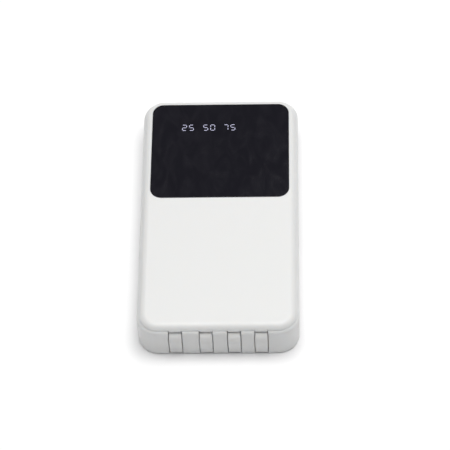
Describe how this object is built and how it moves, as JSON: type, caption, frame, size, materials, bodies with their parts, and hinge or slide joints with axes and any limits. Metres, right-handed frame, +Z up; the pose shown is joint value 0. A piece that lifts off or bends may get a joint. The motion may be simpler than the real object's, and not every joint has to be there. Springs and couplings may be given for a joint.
{
  "type": "power bank",
  "caption": "Slim white power bank with a black mirror display panel and built-in flat leads that fold down its end wall into channels and pockets in the underside.",
  "frame": {"origin": "centre of the flat underside, at the height of the surface that it rests on", "axes": "+Z up out of the display panel, +Y along the long side towards the end with the sockets, -Y the end that the built-in leads come out of, +X the side with the power button"},
  "size_m": [0.068, 0.1232, 0.0184],
  "materials": {
    "housing": "satin white moulded ABS, fine texture",
    "display_panel": "black mirror acrylic",
    "strap_rubber": "off-white matt moulded elastomer",
    "connector_metal": "nickel-plated steel",
    "screws": "zinc-plated steel",
    "white_plastic": "matt moulded plastic",
    "black_plastic": "matt moulded plastic",
    "circuit_board": "green solder mask",
    "cell_pouch": "matt laminate foil",
    "foam": "black closed-cell foam",
    "adhesive_tape": "double-sided tape",
    "red_wire": "insulated wire",
    "black_wire": "insulated wire"
  },
  "bodies": {
    "housing": {"lower_shell": "housing", "top_cover": "housing", "display_panel": "display_panel", "panel_adhesive": "adhesive_tape", "display_module": "white_plastic", "main_board": "circuit_board", "controller_chip": "black_plastic", "boost_coil": "black_plastic", "lead_board": "circuit_board", "lead_clamp_bar": "white_plastic", "clamp_screw_1": "screws", "clamp_screw_2": "screws", "board_screw_1": "screws", "board_screw_2": "screws", "board_screw_3": "screws", "board_screw_4": "screws", "usb_a_socket_left_shell": "connector_metal", "usb_a_socket_left_core": "white_plastic", "usb_a_socket_right_shell": "connector_metal", "usb_a_socket_right_core": "white_plastic", "usb_c_socket_shell": "connector_metal", "usb_c_socket_core": "black_plastic", "side_switch": "black_plastic", "battery_cell_lower": "cell_pouch", "battery_cell_upper": "cell_pouch", "battery_pad_lower": "foam", "battery_pad_upper": "foam", "harness_wire_positive": "red_wire", "harness_wire_negative": "black_wire", "battery_wire_positive": "red_wire", "battery_wire_negative": "black_wire", "usb_a_strap_root": "strap_rubber", "micro_usb_strap_root": "strap_rubber", "usb_c_strap_root": "strap_rubber", "slim_strap_root": "strap_rubber"},
    "power_button": {"power_button": "housing"},
    "usb_a_lead_base": {"usb_a_strap_drop": "strap_rubber"},
    "usb_a_lead": {"usb_a_strap_run": "strap_rubber", "usb_a_plug_grip": "strap_rubber", "usb_a_plug_shell": "connector_metal", "usb_a_plug_tongue": "white_plastic"},
    "micro_usb_lead_base": {"micro_usb_strap_drop": "strap_rubber"},
    "micro_usb_lead": {"micro_usb_strap_run": "strap_rubber", "micro_usb_plug_grip": "strap_rubber", "micro_usb_plug_shell": "connector_metal", "micro_usb_plug_tongue": "black_plastic"},
    "usb_c_lead_base": {"usb_c_strap_drop": "strap_rubber"},
    "usb_c_lead": {"usb_c_strap_run": "strap_rubber", "usb_c_plug_grip": "strap_rubber", "usb_c_plug_shell": "connector_metal"},
    "slim_lead_base": {"slim_strap_drop": "strap_rubber"},
    "slim_lead": {"slim_strap_run": "strap_rubber", "slim_plug_grip": "strap_rubber", "slim_plug_blade": "connector_metal"}
  },
  "joints": [
    {"name": "power_button_press", "type": "slide", "parent": "housing", "child": "power_button", "axis": [-1, 0, 0], "range_m": [0, 0.0004], "stiffness_N_per_m": 2500, "springref_m": -0.0002},
    {"name": "usb_a_lead_swing", "type": "hinge", "parent": "housing", "child": "usb_a_lead_base", "pos_m": [-0.0178, -0.05991, 0.01281], "axis": [-1, 0, 0], "range_deg": [0, 90]},
    {"name": "usb_a_lead_unfold", "type": "hinge", "parent": "usb_a_lead_base", "child": "usb_a_lead", "pos_m": [-0.0178, -0.06036, 0.00124], "axis": [-1, 0, 0], "range_deg": [0, 90]},
    {"name": "micro_usb_lead_swing", "type": "hinge", "parent": "housing", "child": "micro_usb_lead_base", "pos_m": [-0.005, -0.05991, 0.01281], "axis": [-1, 0, 0], "range_deg": [0, 90]},
    {"name": "micro_usb_lead_unfold", "type": "hinge", "parent": "micro_usb_lead_base", "child": "micro_usb_lead", "pos_m": [-0.005, -0.06036, 0.00124], "axis": [-1, 0, 0], "range_deg": [0, 90]},
    {"name": "usb_c_lead_swing", "type": "hinge", "parent": "housing", "child": "usb_c_lead_base", "pos_m": [0.0068, -0.05991, 0.01281], "axis": [-1, 0, 0], "range_deg": [0, 90]},
    {"name": "usb_c_lead_unfold", "type": "hinge", "parent": "usb_c_lead_base", "child": "usb_c_lead", "pos_m": [0.0068, -0.06036, 0.00124], "axis": [-1, 0, 0], "range_deg": [0, 90]},
    {"name": "slim_lead_swing", "type": "hinge", "parent": "housing", "child": "slim_lead_base", "pos_m": [0.0181, -0.05991, 0.01281], "axis": [-1, 0, 0], "range_deg": [0, 90]},
    {"name": "slim_lead_unfold", "type": "hinge", "parent": "slim_lead_base", "child": "slim_lead", "pos_m": [0.0181, -0.06036, 0.00124], "axis": [-1, 0, 0], "range_deg": [0, 90]}
  ],
  "couplings": [
    {"joint": "usb_a_lead_unfold", "follows": "usb_a_lead_swing", "ratio": 1},
    {"joint": "micro_usb_lead_unfold", "follows": "micro_usb_lead_swing", "ratio": 1},
    {"joint": "usb_c_lead_unfold", "follows": "usb_c_lead_swing", "ratio": 1},
    {"joint": "slim_lead_unfold", "follows": "slim_lead_swing", "ratio": 1}
  ]
}
